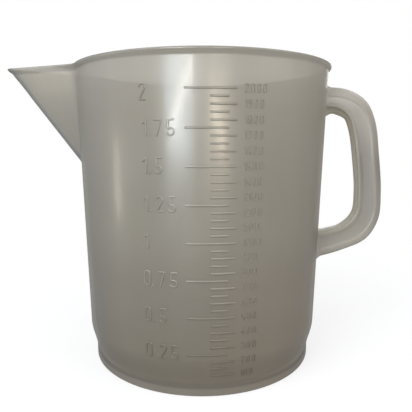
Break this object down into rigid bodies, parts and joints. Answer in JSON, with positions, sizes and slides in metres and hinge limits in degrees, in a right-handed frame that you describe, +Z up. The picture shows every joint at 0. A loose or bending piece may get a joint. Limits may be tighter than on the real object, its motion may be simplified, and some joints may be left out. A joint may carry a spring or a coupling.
{
  "type": "measuring jug",
  "caption": "Round tapered measuring jug in translucent plastic with a V-shaped pouring spout, rolled rim, closed D-shaped handle and a raised volume scale.",
  "frame": {"origin": "on the table plane, at the middle of the jug's footprint seen from above (spout tip to handle); the bowl's vertical axis stands 3.0 mm to +X of it", "axes": "+Z up along the bowl's axis, -X towards the spout, +X towards the handle, -Y towards the side that carries the volume scale"},
  "size_m": [0.2206, 0.1458, 0.1666],
  "materials": {
    "bowl_polypropylene": "translucent natural polypropylene, satin outside and polished inside",
    "rim_polypropylene": "translucent natural polypropylene, thick section, satin",
    "handle_polypropylene": "translucent natural polypropylene, thick section, satin"
  },
  "bodies": {
    "root": {"jug_wall": "bowl_polypropylene", "base_floor": "bowl_polypropylene", "foot_ring": "rim_polypropylene", "pouring_spout": "bowl_polypropylene", "rim_lip": "rim_polypropylene", "handle_outer_flange": "handle_polypropylene", "handle_inner_flange": "handle_polypropylene", "handle_web": "handle_polypropylene"}
  },
  "joints": []
}
